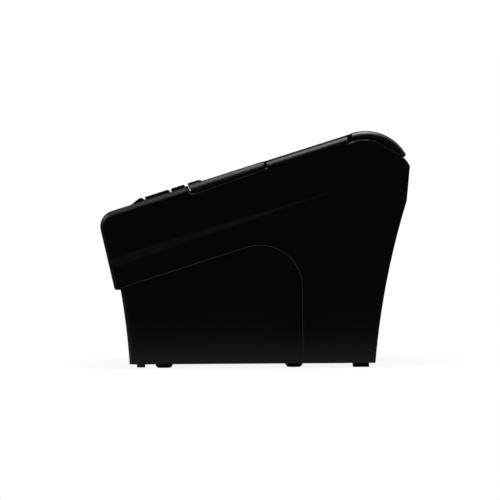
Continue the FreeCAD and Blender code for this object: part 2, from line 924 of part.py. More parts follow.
def gear(centre, teeth, phase):
    """Spur gear blank with straight-flanked teeth, one of them centred at the angle phase."""
    pitch_radius = gear_module * teeth / 2
    tip = pitch_radius + gear_module
    root = pitch_radius - gear_root * gear_module
    flank = math.tan(math.radians(gear_flank))
    half_tooth = math.pi * gear_module / 4 - gear_backlash / 2
    half_tip = math.degrees((half_tooth - gear_module * flank) / tip)
    half_root = math.degrees((half_tooth + gear_module * flank) / root)
    corners = []
    for tooth in range(teeth):
        middle = phase + 360.0 * tooth / teeth
        corners += [polar(centre, root, middle - half_root), polar(centre, tip, middle - half_tip),
                    polar(centre, tip, middle + half_tip), polar(centre, root, middle + half_root)]
    return Outline(corners[0]).line(*corners[1:]).prism(gear_start, gear_start + gear_width)


idler_phase = idler_bearing + 180 + 180.0 / idler_teeth
idler_offset = (pinion_bearing - idler_phase) % (360.0 / idler_teeth)
pinion_phase = pinion_bearing + 180 + idler_offset * idler_pitch / pinion_pitch + 180.0 / pinion_teeth
shaft_end = gear_start + gear_width
platen_shaft = rod(-plate_outer - end_gap, shaft_end, platen_axis, platen_shaft_radius)
save("platen_roller", rod(-paper_half, paper_half, platen_axis, platen_radius).cut(platen_shaft))
save("platen_shaft", platen_shaft)
save("platen_gear", gear(platen_axis, platen_teeth, idler_bearing).cut(platen_shaft))
bush = rod(arm_inner, plate_outer + end_gap, platen_axis, bush_radius)
bush = bush.cut(rod(0, width, platen_axis, platen_shaft_radius + fit_gap))
save("platen_bushes", *both_sides(bush))
idler_bore = rod(0, width, idler_axis, idler_pin_radius + fit_gap)
save("idler_gear", gear(idler_axis, idler_teeth, idler_phase).cut(idler_bore))
save("idler_pin", rod(plate_outer, shaft_end + idler_pin_proud, idler_axis, idler_pin_radius))
motor_shaft = rod(plate_inner - motor_length / 2, shaft_end, motor_axis, motor_shaft_radius)
save("motor_shaft", motor_shaft)
save("motor_pinion", gear(motor_axis, pinion_teeth, pinion_phase).cut(motor_shaft))


def make_feed_motor():
    flange_x = plate_inner - motor_flange
    reach = motor_radius + motor_ear_reach
    can = rod(plate_inner - motor_length, flange_x, motor_axis, motor_radius)
    ears = block(flange_x, plate_inner, motor_axis.y - motor_ear_half, motor_axis.y + motor_ear_half,
                 motor_axis.z - reach, motor_axis.z + reach)
    bore = rod(plate_inner - motor_length / 2 - end_gap, width, motor_axis, motor_shaft_radius + fit_gap)
    return can.fuse(ears).cut(bore)


save("feed_motor", make_feed_motor())


def side_plate():
    """Side of the steel chassis, slotted for the platen's bush."""
    half_slot = bush_radius + slot_gap
    slot_front = platen_u - half_slot
    slot_back = platen_u + half_slot
    reach = motor_radius + plate_margin
    low = motor_axis.z - reach
    outline = Outline(deck(plate_front, plate_top))
    outline.line(deck(slot_front, plate_top), deck(slot_front, platen_v))
    outline.arc(deck(platen_u, platen_v - half_slot), deck(slot_back, platen_v))
    outline.line(deck(slot_back + slot_flare, plate_top))
    outline.line(deck(plate_back, plate_top), deck(plate_back, sink_low))
    outline.line(point(post_back, chassis_z - plate_margin / 2), point(post_front, low))
    outline.line(point(motor_axis.y - reach, low), point(motor_axis.y - reach, motor_axis.z + motor_radius))
    plate = outline.prism(plate_inner, plate_outer)
    foot = block(plate_inner, post_outer, post_front, post_back, chassis_z, chassis_z + plate_thickness)
    foot = foot.cut(Part.makeCylinder(screw_radius, width, V(chassis_screw_x, chassis_screw_y, 0)))
    return plate.fuse(foot)


def make_mech_frame():
    pan = deck_block(-plate_inner, plate_inner, backplate_u, pan_back, pan_low, pan_low + plate_thickness)
    back = deck_block(-cutter_half, cutter_half, backplate_u, backplate_u + plate_thickness,
                      pan_low, backplate_top)
    frame = side_plate().fuse([mirrored(side_plate()), pan, back])
    return frame.cut([rod(-width, width, latch_axis, latch_shaft_radius + fit_gap),
                      rod(0, width, motor_axis, 2 * motor_shaft_radius)])


save("mech_frame", make_mech_frame())


def screw(x, y, seat_z, length, up):
    """Pan-head screw whose head rests at seat_z; up turns its shank upwards."""
    direction = V(0, 0, 1) if up else V(0, 0, -1)
    head = Part.makeCylinder(screw_head_radius, screw_head_height, V(x, y, seat_z), direction * -1)
    shank = Part.makeCylinder(screw_radius, length, V(x, y, seat_z), direction)
    face_z = seat_z - direction.z * screw_head_height
    cross = []
    for half_x, half_y in ((screw_cross_length / 2, screw_cross_width / 2),
                           (screw_cross_width / 2, screw_cross_length / 2)):
        cross.append(block(x - half_x, x + half_x, y - half_y, y + half_y,
                           face_z - screw_cross_depth, face_z + screw_cross_depth))
    return head.fuse(shank).cut(cross)


chassis_screw = screw(chassis_screw_x, chassis_screw_y, chassis_z + plate_thickness,
                      chassis_screw_length, False)
save("mech_screws", *both_sides(chassis_screw))


# Thermal head on its heat sink, pressed towards the platen by a bowed leaf spring.
sink_face = head_face - head_thickness
sink_back = sink_face - sink_thickness


def make_heat_sink():
    sink = deck_block(-blade_half, blade_half, sink_back, sink_face, sink_low, sink_high)
    lug = deck_block(lug_inner, lug_outer, sink_back, latch_u - latch_shaft_radius - slot_gap,
                     pan_low + plate_thickness, sink_low + run_over)
    grooves = []
    for groove in range(groove_count):
        x = (groove - (groove_count - 1) / 2) * groove_pitch
        grooves.append(deck_block(x - groove_half, x + groove_half, sink_back - run_over,
                                  sink_back + groove_depth, groove_low, sink_high + run_over))
    return sink.fuse(both_sides(lug)).cut(grooves)


def make_head_spring():
    """Leaf bowed between the back plate and the heat sink."""
    rest = backplate_u + plate_thickness
    touch = sink_back - fit_gap

    def leaf_point(x, u):
        return V(x, 0, 0) + deck(u, spring_low)

    outer = Part.Arc(leaf_point(-spring_half, rest + spring_thickness), leaf_point(0, touch),
                     leaf_point(spring_half, rest + spring_thickness)).toShape()
    inner = Part.Arc(leaf_point(-spring_half, rest), leaf_point(0, touch - spring_thickness),
                     leaf_point(spring_half, rest)).toShape()
    edges = [outer, inner]
    for x in (-spring_half, spring_half):
        edges.append(Part.LineSegment(leaf_point(x, rest), leaf_point(x, rest + spring_thickness)).toShape())
    leaf = Part.Face(Part.Wire(Part.sortEdges(edges)[0]))
    return leaf.extrude(deck(0, spring_height) - deck(0, 0))


save("heat_sink", make_heat_sink())
save("thermal_head", deck_block(-paper_half, paper_half, sink_face, head_face, head_low, head_high))
save("head_spring", make_head_spring())


# Cutter: a guide block with a sliding blade, its geared motor, and the fixed blade on the cover.


def make_cutter_frame():
    body = deck_block(-cutter_half, cutter_half, cutter_front, cutter_back, cutter_low, cutter_top)
    ear = deck_block(cutter_half, plate_inner, cutter_ear_front, cutter_ear_back,
                     cutter_low, plate_top - slot_gap)
    slot_half = blade_half + blade_gap
    slot = deck_block(-slot_half, slot_half, cutter_front + wall, cutter_back + run_over,
                      moving_blade_v - blade_gap, moving_blade_v + blade_thickness + blade_gap)
    return body.fuse(both_sides(ear)).cut(slot)


def make_moving_blade():
    back = cutter_back - blade_length
    tip = cutter_back + blade_gap

    def blade_point(x, u):
        return V(x, 0, 0) + deck(u, moving_blade_v)

    corners = [blade_point(-blade_half, back), blade_point(blade_half, back),
               blade_point(blade_half, tip), blade_point(0, tip - blade_notch),
               blade_point(-blade_half, tip), blade_point(-blade_half, back)]
    return Part.Face(Part.makePolygon(corners)).extrude(deck(0, blade_thickness) - deck(0, 0))


fixed_blade_top = moving_blade_v - blade_gap
save("cutter_frame", make_cutter_frame())
save("moving_blade", make_moving_blade())
save("fixed_blade", deck_block(-blade_half, blade_half, cover_front + blade_gap, fixed_blade_back,
                               fixed_blade_top - blade_thickness, fixed_blade_top))
cutter_motor_axis = deck(cutter_motor_u, cutter_motor_v)
cutter_motor = rod(cutter_motor_left, cutter_motor_right, cutter_motor_axis, cutter_motor_radius)
cutter_mount = deck_block(cutter_motor_left - cutter_mount_margin, cutter_motor_right + cutter_mount_margin,
                          cutter_front, cutter_mount_back, cutter_mount_low, cutter_low)
save("cutter_motor", cutter_motor.fuse(cutter_mount))


# Latch: a shaft with two catches in front of the platen's bushes and a lever under the release key.


def make_latch():
    shaft = rod(lever_outer, plate_outer, latch_axis, latch_shaft_radius)
    nose = platen_u - bush_radius - catch_gap
    hook_low = cutter_low - catch_depth
    throat = nose - catch_throat
    catch = Outline(deck(latch_u - catch_foot, latch_v)).line(deck(latch_u - catch_neck, cutter_low))
    catch.line(deck(nose, cutter_low - catch_gap), deck(nose, hook_low))
    catch.line(deck(throat, hook_low - catch_throat), deck(throat, latch_v))
    boss = rod(catch_inner, catch_outer, latch_axis, latch_boss_radius)
    hook = catch.prism(catch_inner, catch_outer).fuse(boss)
    lever = Outline(deck(lever_tip, lever_top)).line(deck(lever_bend, lever_top))
    lever.line(deck(latch_u, latch_v + latch_shaft_radius), deck(latch_u, latch_v - latch_shaft_radius))
    lever.line(deck(lever_bend, lever_low), deck(lever_tip, lever_low))
    return shaft.fuse(both_sides(hook)).fuse(lever.prism(lever_outer, lever_inner))


save("latch", make_latch())


# Inner frame of the cover, with the two arms that hold the platen's bushes.


def make_cover_liner():
    frame = deck_block(-liner_half, liner_half, liner_front, liner_back, liner_low, cover_underside)
    panes = []
    for x0, x1 in ((-liner_half, -pane_half), (-pane_half, pane_half), (pane_half, liner_half)):
        panes.append(deck_block(x0 + liner_rib, x1 - liner_rib,
                                liner_front + liner_rib, liner_back - liner_rib,
                                liner_low - run_over, cover_underside + run_over))
    blade_reach = cutter_back + blade_gap + blade_travel
    bar = deck_block(-arm_outer, arm_outer, blade_reach + cover_gap, liner_front + run_over,
                     fixed_blade_top, cover_underside)
    arm = Outline(deck(platen_u - arm_radius, cover_underside)).line(deck(platen_u - arm_radius, platen_v))
    arm.arc(deck(platen_u, platen_v - arm_radius), deck(platen_u + arm_radius, platen_v))
    arm.line(deck(platen_u + arm_radius, cover_underside))
    liner = frame.cut(panes).fuse([bar] + both_sides(arm.prism(arm_inner, arm_outer)))
    return liner.cut(rod(-width, width, platen_axis, bush_radius))


save("cover_liner", make_cover_liner())


# Toothed tear bar on the front edge of the cover.


def make_tear_bar():
    profile = Outline(deck(cover_front, cover_rise)).line(deck(cover_front, ridge_height - tear_edge))
    profile.line(deck(cover_front + tear_edge, ridge_height), deck(tear_back - tear_ramp, ridge_height))
    profile.line(deck(tear_back, cover_rise))
    bar = profile.prism(-cover_middle_half, cover_middle_half)
    notches = []
    count = int(2 * cover_middle_half / tear_pitch)
    for tooth in range(count):
        x = (tooth - (count - 1) / 2) * tear_pitch
        corners = [V(x - tear_pitch / 2, 0, 0) + deck(cover_front, cover_rise),
                   V(x, 0, 0) + deck(cover_front + tear_tooth, cover_rise),
                   V(x + tear_pitch / 2, 0, 0) + deck(cover_front, cover_rise)]
        notches.append(Part.Face(Part.makePolygon(corners + corners[:1])).extrude(deck(0, wall) - deck(0, 0)))
    return bar.cut(notches)


save("tear_bar", make_tear_bar())


# Key row in front of the paper slot: exit frame, panel with keys and lamps, flap over the cutter.
flap_axis = deck(key_row_front + flap_nose_radius, row_height - flap_nose_radius)
flap_back = row_back - flap_gap
flap_low = row_height - 2 * flap_nose_radius


def on_row_top(edge):
    middle = edge_middle(edge)
    return abs(deck_at(middle.y, row_height).z - middle.z) < tolerance


def long_on_row_top(edge):
    return on_row_top(edge) and abs(edge_middle(edge).x) < tolerance


def lens(x):
    low = V(x, 0, 0) + deck(lens_u, row_height - lens_height)
    return Part.makeCylinder(lens_radius, lens_height, low, deck(0, 1) - deck(0, 0))


def feed_key(grow, low, top):
    """Block the size of the feed key, grown all round."""
    return deck_block(feed_key_x - feed_key_half - grow, feed_key_x + feed_key_half + grow,
                      feed_key_front - grow, feed_key_back + grow, low, top)


def make_panel():
    body = deck_block(panel_left, key_row_half, key_row_front, row_back, cutter_top, row_height)
    tray = deck_block(flap_left - flap_ear, panel_left, key_row_front, row_back, cutter_top, tray_top)
    ear = deck_block(flap_left - flap_ear, flap_left, key_row_front, row_back, cutter_top, row_height)
    panel = body.fuse([tray, ear])
    well = feed_key(flap_gap, feed_key_low - feed_key_travel - stop_gap, row_height + run_over)
    access = deck_block(access_left, access_right, key_row_front + access_margin, row_back - access_margin,
                        cutter_top - run_over, 0)
    pivot = rod(flap_left - flap_ear - run_over, panel_left + flap_pin_reach + end_gap,
                flap_axis, flap_pin_radius + fit_gap)
    return panel.cut([well, access, pivot] + [lens(x) for x in lens_places])


def make_flap():
    outline = Outline(deck(key_row_front + flap_nose_radius, row_height))
    outline.arc(deck(key_row_front, row_height - flap_nose_radius),
                deck(key_row_front + flap_nose_radius, flap_low))
    outline.line(deck(flap_back, flap_low), deck(flap_back, row_height))
    plate = outline.prism(flap_left + flap_gap, panel_left - flap_gap)
    pins = rod(flap_left - flap_pin_reach, panel_left + flap_pin_reach, flap_axis, flap_pin_radius)
    return plate.fuse(pins)


exit_frame = deck_block(-key_row_half, key_row_half, exit_front, exit_back, cutter_top, row_height)
save("exit_frame", rounded(exit_frame, exit_radius, long_on_row_top))
save("operation_panel", make_panel())
save("status_lenses", *[lens(x) for x in lens_places])
save("cutter_cover", make_flap())
save("feed_button", rounded(feed_key(0, feed_key_low, row_height), key_edge, on_row_top))
release_cap = deck_block(-key_row_half + key_gap, flap_left - flap_ear - key_gap, key_row_front + key_gap,
                         row_back - key_gap, release_low, row_height)
release_stem = deck_block(lever_outer, lever_inner, stem_front, stem_back, lever_top + stop_gap, 0)
save("release_button", rounded(release_cap, key_edge, on_row_top).fuse(release_stem))


# Paper roll tray with flanges that close the casing around it.


def trough(radius, half, top):
    """Space swept by a round tray with upright sides."""
    roll = point(roll_y, roll_z)
    round_part = rod(-half, half, roll, radius)
    return round_part.fuse(block(-half, half, roll_y - radius, roll_y + radius, roll_z, top))


def make_roll_bucket():
    outer = trough(bucket_radius + bucket_wall, bucket_half + bucket_wall, roll_z + bucket_wall_rise)
    above = deck_block(-width, width, -depth, 2 * depth, bucket_rim, depth)
    ahead = deck_block(-width, width, -depth, bucket_front_u, -roll_z, depth).common(
        block(-width, width, -depth, 2 * depth, roll_z + bucket_lip_rise, 2 * depth))
    side = deck_block(bucket_half + bucket_wall, inner_half, bucket_front_u + bucket_wall, liner_back,
                      bucket_rim - bucket_wall, bucket_rim)
    bucket = outer.cut([above, ahead]).fuse(both_sides(side))
    return bucket.cut(trough(bucket_radius, bucket_half, 2 * width))


save("roll_bucket", make_roll_bucket())
sensor_face = -bucket_half - bucket_wall
sensor_front = roll_y - sensor_ahead
sensor_back = sensor_front + sensor_length
sensor_low = roll_z - sensor_drop
save("near_end_sensor", block(sensor_face - sensor_depth, sensor_face, sensor_front, sensor_back,
                              sensor_low, sensor_low + sensor_height))


# Main board and the sockets behind the rear plate.
board_top = board_z + board_thickness
socket_back = socket_plate_y - socket_depth


def socket_block(name, grow):
    x, across, height = sockets[name]
    half = across / 2 + grow
    return block(x - half, x + half, socket_back, socket_plate_y + socket_proud,
                 board_top - grow, board_top + height + grow)


def make_jack(name):
    """Square socket with an open mouth."""
    x, across, height = sockets[name]
    half = across / 2 - jack_wall
    mouth = block(x - half, x + half, socket_back + jack_floor, depth,
                  board_top + jack_floor, board_top + height - jack_wall)
    return socket_block(name, 0).cut(mouth)


def make_usb():
    x, across, height = sockets["usb_socket"]
    middle = board_top + height / 2
    tongue = block(x - tongue_half, x + tongue_half, socket_back + run_over, socket_plate_y - tongue_setback,
                   middle - tongue_half_height, middle + tongue_half_height)
    return make_jack("usb_socket").fuse(tongue)


def make_power_inlet():
    x, across, height = sockets["power_inlet"]
    centre = V(x, socket_back + jack_floor, board_top + height / 2)
    outwards = V(0, 1, 0)
    mouth = Part.makeCylinder(inlet_radius, socket_depth, centre, outwards)
    pins = []
    for pin in range(inlet_pins):
        angle = math.radians(90 + 360.0 * pin / inlet_pins)
        foot = centre + V(math.cos(angle), 0, math.sin(angle)) * inlet_pin_circle - outwards * run_over
        pins.append(Part.makeCylinder(inlet_pin_radius, inlet_pin_length, foot, outwards))
    return socket_block("power_inlet", 0).cut(mouth).fuse(pins)


plate_back_y = socket_plate_y - plate_sheet
save("main_board", block(-board_half, board_half, board_front, plate_back_y - socket_gap, board_z, board_top))
plate_half = socket_half + frame_wall
plate = block(-plate_half, plate_half, plate_back_y, socket_plate_y,
              socket_low - frame_wall, socket_high + frame_wall)
save("interface_plate", plate.cut([socket_block(name, socket_gap) for name in sockets]))
save("power_inlet", make_power_inlet())
save("drawer_socket", make_jack("drawer_socket"))
save("usb_socket", make_usb())
save("lan_socket", make_jack("lan_socket"))


# Power switch in the front of the base.


def make_power_switch():
    left = switch_x - switch_width / 2
    right = switch_x + switch_width / 2
    low = switch_z - switch_height / 2
    high = switch_z + switch_height / 2
    body = block(left, right, switch_front, switch_front + switch_depth, low, high)
    room = block(left + switch_wall, right - switch_wall, switch_front - run_over, rocker_y + switch_room,
                 low + switch_wall, high - switch_wall)
    pivot_left = left + switch_wall - rocker_pin_reach
    pivot_right = right - switch_wall + rocker_pin_reach
    pivot = rod(pivot_left, pivot_right, point(rocker_y, switch_z), rocker_pin_radius + fit_gap)
    return body.cut([room, pivot])


def make_rocker():
    half = switch_width / 2 - switch_wall - rocker_gap
    left = switch_x - half
    right = switch_x + half
    axis = point(rocker_y, switch_z)
    heel = rocker_half - rocker_back
    outline = Outline(axis + point(-rocker_valley, 0)).line(axis + point(-rocker_tip, rocker_half))
    outline.line(axis + point(-rocker_back, heel), axis + point(-rocker_back, -heel))
    outline.line(axis + point(-rocker_tip, -rocker_half))
    pin = rod(left - rocker_pin_reach, right + rocker_pin_reach, axis, rocker_pin_radius)
    rocker = outline.prism(left, right).fuse([rod(left, right, axis, rocker_hub), pin])
    rocker.rotate(axis, V(1, 0, 0), -rocker_tilt)
    return rocker


save("power_switch", make_power_switch())
save("power_rocker", make_rocker())


# Underside: hatch, screws and feet.


def rubber_foot(x, y):
    """Domed foot, turned from its half profile."""
    profile = Outline(point(0, 0)).line(point(foot_base_radius, 0))
    profile.arc(point(foot_swell_radius, foot_swell_height), point(foot_top_radius, base_height))
    profile.line(point(0, base_height))
    foot = profile.face().revolve(V(0, 0, 0), V(0, 0, 1), 360)
    foot.translate(V(x, y, 0))
    return foot


save("base_hatch", hatch_block(-hatch_gap, base_height + hatch_gap, base_height + hatch_thickness))
seat_z = base_height + screw_head_height
foot_x = half_width - foot_inset
save("case_screws", *[screw(x, y, seat_z, case_screw_length, True) for x, y in screw_places()])
save("rubber_feet", *[rubber_foot(x, y) for x in (-foot_x, foot_x) for y in foot_rows])
rear_outer = half_width - rear_foot_inset
rear_inner = rear_outer - rear_foot_width
rear_front = depth - rear_foot_setback
rear_back = rear_front + rear_foot_length
rear_block = block(rear_inner, rear_outer, rear_front, rear_back, 0, base_height)
save("rear_feet", *both_sides(rear_block))
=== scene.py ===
import math

import bmesh
import bpy
from mathutils import Euler, Matrix, Vector


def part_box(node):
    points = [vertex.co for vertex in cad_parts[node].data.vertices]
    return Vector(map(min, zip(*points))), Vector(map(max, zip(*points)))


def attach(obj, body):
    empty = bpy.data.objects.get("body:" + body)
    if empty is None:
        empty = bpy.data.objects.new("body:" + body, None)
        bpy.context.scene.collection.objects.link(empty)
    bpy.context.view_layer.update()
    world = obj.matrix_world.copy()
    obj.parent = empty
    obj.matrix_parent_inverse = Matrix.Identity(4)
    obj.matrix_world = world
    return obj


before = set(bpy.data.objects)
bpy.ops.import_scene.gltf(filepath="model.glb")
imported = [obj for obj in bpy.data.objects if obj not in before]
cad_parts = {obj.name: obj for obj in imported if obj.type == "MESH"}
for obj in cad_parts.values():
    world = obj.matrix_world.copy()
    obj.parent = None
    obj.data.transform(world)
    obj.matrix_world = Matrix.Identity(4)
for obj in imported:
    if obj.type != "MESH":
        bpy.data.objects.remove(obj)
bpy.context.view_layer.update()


# The base tray is one injection moulding in black ABS, with a spark-eroded
# texture on its outside. It carries everything else and closes the printer below.
# The upper case and the hatch underneath are of the same plastic.
class Field:
    """A value that varies over a surface: sums of it become Math nodes."""

    def __init__(self, tree, socket=None):
        self.tree = tree
        self.socket = socket

    def node(self, kind, settings=None, inputs=None, out=0):
        made = self.tree.nodes.new(kind)
        for name, value in (settings or {}).items():
            if name == "stops":
                ramp = made.color_ramp.elements
                for stop, (place, shade) in zip((ramp[0], ramp[1]), value):
                    stop.position = place
                    stop.color = (shade, shade, shade, 1.0)
            else:
                setattr(made, name, value)
        for name, value in (inputs or {}).items():
            if isinstance(value, Field):
                self.tree.links.new(value.socket, made.inputs[name])
            else:
                made.inputs[name].default_value = value
        return Field(self.tree, made.outputs[out])

    def math(self, operation, first, second):
        return self.node("ShaderNodeMath", {"operation": operation}, {0: first, 1: second})

    def __add__(self, other):
        return self.math("ADD", self, other)

    __radd__ = __add__

    def __sub__(self, other):
        return self.math("SUBTRACT", self, other)

    def __rsub__(self, other):
        return self.math("SUBTRACT", other, self)

    def __mul__(self, other):
        return self.math("MULTIPLY", self, other)

    __rmul__ = __mul__

    def place(self):
        return self.node("ShaderNodeTexCoord", out="Object")

    def part(self, axis):
        return self.node("ShaderNodeSeparateXYZ", None, {"Vector": self}, out=axis)

    def noise(self, scale, detail=2.0, stretch=(1.0, 1.0, 1.0)):
        mapped = self.node("ShaderNodeMapping", None, {"Vector": self.place(), "Scale": stretch})
        return self.node("ShaderNodeTexNoise", None,
                         {"Vector": mapped, "Scale": scale, "Detail": detail})

    def cells(self, scale):
        return self.node("ShaderNodeTexVoronoi", None, {"Vector": self.place(), "Scale": scale})

    def step(self, low, high):
        return self.node("ShaderNodeValToRGB", {"stops": ((low, 0.0), (high, 1.0))}, {"Fac": self})

    def blend(self, first, second):
        return self.node("ShaderNodeMix", {"data_type": "RGBA"},
                         {0: self, 6: first, 7: second}, out=2)

    def bump(self, strength, distance):
        return self.node("ShaderNodeBump", None,
                         {"Height": self, "Strength": strength, "Distance": distance})


def finish(name, metallic=0.0, specular=0.5, coat=0.0):
    """A new material with its shader, and a field to start its expressions from."""
    material = bpy.data.materials.new(name)
    material.use_nodes = True
    shader = material.node_tree.nodes["Principled BSDF"]
    shader.inputs["Metallic"].default_value = metallic
    shader.inputs["Specular IOR Level"].default_value = specular
    shader.inputs["Coat Weight"].default_value = coat
    return material, shader, Field(material.node_tree)


def connect(shader, **fields):
    """Feeds the shader's inputs: base_color goes to Base Color, and so on."""
    for name, field in fields.items():
        socket = shader.inputs[name.replace("_", " ").title()]
        field.tree.links.new(field.socket, socket)


def colour(red, green, blue):
    return (red, green, blue, 1.0)


def dress(material, *nodes):
    """Gives a material to pieces that come from the frame."""
    for node in nodes:
        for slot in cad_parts[node].material_slots:
            slot.material = material


def moulding(name, dark, light, edge_wear_and_highlight, rough, specular, grain):
    """Moulded plastic: faint flow clouds, eroded grain, and rounded edges painted lighter, partly
    rubbing wear and partly a painted highlight.
    """
    edge_begins, edge_ends = (0.62, 0.68), (0.74, 0.80)
    cloud_scale, rub_scale = 28.0, 70.0
    fine_grain = 2.7 * grain
    grain_strength, grain_depth = 0.5, 0.0002
    material, shader, field = finish(name, specular=specular)
    across = field.node("ShaderNodeNewGeometry", out="True Normal").part("X")
    slant = field.node("ShaderNodeMath", {"operation": "ABSOLUTE"}, {0: across})
    # Faces turned partly sideways get a lighter colour: partly rubbing wear, partly a painted
    # highlight along seams and rounded edges.
    wear_and_highlight_band = slant.step(*edge_begins) * (1.0 - slant.step(*edge_ends))
    clouds = field.noise(cloud_scale, 3.0)
    pits = field.noise(grain, 2.0)
    fine = field.noise(fine_grain, 1.0)
    rub = field.noise(rub_scale, 4.0, (1.0, 0.35, 1.0)).step(0.52, 0.74)
    connect(shader,
            base_color=wear_and_highlight_band.blend((clouds * 0.6 + pits * 0.4).blend(dark, light), edge_wear_and_highlight),
            roughness=rough + 0.10 * (pits - 0.5) - 0.05 * rub,
            normal=(pits * 0.7 + fine * 0.3).bump(grain_strength, grain_depth))
    return material


# Its edge colour lightens the seam bevel and rounded edges: partly rubbing wear, partly a painted
# highlight.
case_black = moulding(
    "black_abs", dark=colour(0.0016, 0.0016, 0.0017), light=colour(0.0031, 0.0031, 0.0033),
    edge_wear_and_highlight=colour(0.012, 0.012, 0.013), rough=0.22, specular=0.47, grain=1300.0)
dress(case_black, "lower_case", "upper_case", "base_hatch")

# A web moulded into the upper case closes each end of the paper slot, just ahead
# of the cover's rounded lip, so that no light shows through under the cover.
slope = math.radians(17.27)
deck_front = (-0.0965, 0.09638)
web_inner, web_outer = 0.0627, 0.0685
web_front, web_low, web_top = 0.05741, -0.0005, 0.0006
web_curve, web_curve_steps = 0.00475, 10
web_back = -0.0016
web_bury = -0.0002


def on_deck(x, along, above):
    """Point of the sloping deck, measured along it from its front edge and square to it."""
    return (x,
            deck_front[0] + along * math.cos(slope) - above * math.sin(slope),
            deck_front[1] + along * math.sin(slope) + above * math.cos(slope))


def moved(shape, pushed, by):
    """Moves what an extrusion has just made."""
    points = [item for item in pushed["geom"] if isinstance(item, bmesh.types.BMVert)]
    bmesh.ops.translate(shape, verts=points, vec=by)


def added(name, shape, material):
    """Turns a finished bmesh into a piece that rides on the housing."""
    mesh = bpy.data.meshes.new(name)
    bmesh.ops.recalc_face_normals(shape, faces=shape.faces[:])
    shape.to_mesh(mesh)
    shape.free()
    mesh.materials.append(material)
    piece = bpy.data.objects.new(name, mesh)
    bpy.context.collection.objects.link(piece)
    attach(piece, "root")


webs = bmesh.new()
corner = webs.verts.new(on_deck(web_inner, web_front, web_low))
webs.edges.new((webs.verts.new(on_deck(web_inner, web_front, web_top)), corner))
bmesh.ops.spin(webs, geom=[corner], cent=on_deck(web_inner, web_front + web_curve, web_low),
               axis=(1.0, 0.0, 0.0), angle=math.radians(90.0), steps=web_curve_steps,
               dvec=(0.0, 0.0, 0.0))
here, there = on_deck(0.0, 0.0, 0.0), on_deck(0.0, web_back, web_bury)
moved(webs, bmesh.ops.extrude_edge_only(webs, edges=webs.edges[:]),
      [b - a for a, b in zip(here, there)])
moved(webs, bmesh.ops.extrude_face_region(webs, geom=webs.faces[:]),
      (web_outer - web_inner, 0.0, 0.0))
bmesh.ops.mirror(webs, geom=webs.verts[:] + webs.edges[:] + webs.faces[:], axis="X",
                 merge_dist=0.0)
added("slot_webs", webs, case_black)

# Four soft rubber domes are pressed into the floor of the base, and two plain
# rubber blocks stand behind them, so that the printer does not slide.
material, shader, field = finish("foot_rubber", specular=0.25)
chalk = field.noise(260.0, 4.0).step(0.45, 0.8)
connect(shader,
        base_color=chalk.blend(colour(0.010, 0.010, 0.0105), colour(0.032, 0.031, 0.030)),
        roughness=0.78 + 0.12 * chalk,
        normal=field.noise(1800.0, 3.0).bump(0.3, 0.00015))
dress(material, "rubber_feet", "rear_feet")


# The steel pieces are bent from zinc-plated sheet: chassis, latch, rear plate,
# motor cans and screws. Rolling leaves long fine streaks in the plating.
def sheet_steel(name, dark, light, rough, stretch):
    """Metal with streaks along one way, a faint spangle and a few stains."""
    material, shader, field = finish(name, metallic=1.0)
    streaks = field.noise(420.0, 5.0, stretch)
    spangle = field.cells(160.0)
    stain = field.noise(35.0, 4.0).step(0.5, 0.85)
    connect(shader,
            base_color=(streaks * 0.7 + stain * 0.3).blend(light, dark),
            roughness=rough + 0.14 * streaks + 0.06 * spangle + 0.12 * stain,
            normal=streaks.bump(0.12, 0.00008))
    return material


zinc = sheet_steel(
    "zinc_plated_sheet", dark=colour(0.40, 0.40, 0.39), light=colour(0.62, 0.62, 0.60),
    rough=0.24, stretch=(0.06, 1.0, 1.0))
dress(zinc, "mech_frame", "latch", "feed_motor", "cutter_motor", "mech_screws", "case_screws",
      "interface_plate", "usb_socket", "lan_socket")

# The main board is glass-fibre laminate under green solder resist. Copper tracks
# show through it as a fine raised net.
material, shader, field = finish("solder_resist", specular=0.5, coat=0.3)
tracks = field.cells(240.0).step(0.32, 0.38)
connect(shader,
        base_color=tracks.blend(colour(0.012, 0.085, 0.030), colour(0.020, 0.130, 0.050)),
        roughness=0.30 + 0.10 * field.noise(300.0),
        normal=tracks.bump(0.3, 0.00005))
dress(material, "main_board")

# The drawer socket, the power inlet and the power switch are glossy black nylon
# mouldings, soldered to the board or clipped into the base.
nylon = moulding(
    "black_nylon", dark=colour(0.008, 0.008, 0.0085), light=colour(0.013, 0.013, 0.0135),
    edge_wear_and_highlight=colour(0.016, 0.016, 0.017), rough=0.30, specular=0.5, grain=2200.0)
dress(nylon, "drawer_socket", "power_inlet", "power_switch")

# The network socket holds a black insert inside its shield, and a sleeve of the
# same nylon covers the tongue of the data socket.
jack_wall, jack_sill = 0.0015, 0.0020
insert_wall = 0.0004
insert_set_back = 0.0006
tongue_half, tongue_half_height, tongue_end = 0.0028, 0.0016, 0.0685
sleeve_wall = 0.00005


def block(shape, centre, size, turn=None):
    """Adds a box to a bmesh, turned about its own centre."""
    bmesh.ops.create_cube(shape, size=1.0, matrix=Matrix.LocRotScale(centre, turn, size))


inserts = bmesh.new()
low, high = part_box("lan_socket")
mouth_low = Vector((low[0] + jack_wall, low[1] + jack_sill, low[2] + jack_sill))
mouth_high = Vector((high[0] - jack_wall, high[1] - insert_set_back, high[2] - jack_wall))
block(inserts, (mouth_low + mouth_high) / 2, mouth_high - mouth_low)
opening = [face for face in inserts.faces
           if face.calc_center_median().y > mouth_high.y - insert_wall]
bmesh.ops.inset_individual(inserts, faces=opening, thickness=insert_wall, depth=0.0,
                           use_even_offset=True)
bmesh.ops.translate(inserts, verts=opening[0].verts[:],
                    vec=(0.0, mouth_low.y - mouth_high.y + insert_wall, 0.0))
low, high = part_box("usb_socket")
tongue_root = low[1] + jack_sill
block(inserts,
      ((low[0] + high[0]) / 2, (tongue_root + tongue_end) / 2, (low[2] + high[2]) / 2),
      (2 * (tongue_half + sleeve_wall), tongue_end - tongue_root + 2 * sleeve_wall,
       2 * (tongue_half_height + sleeve_wall)))
added("socket_inserts", inserts, nylon)

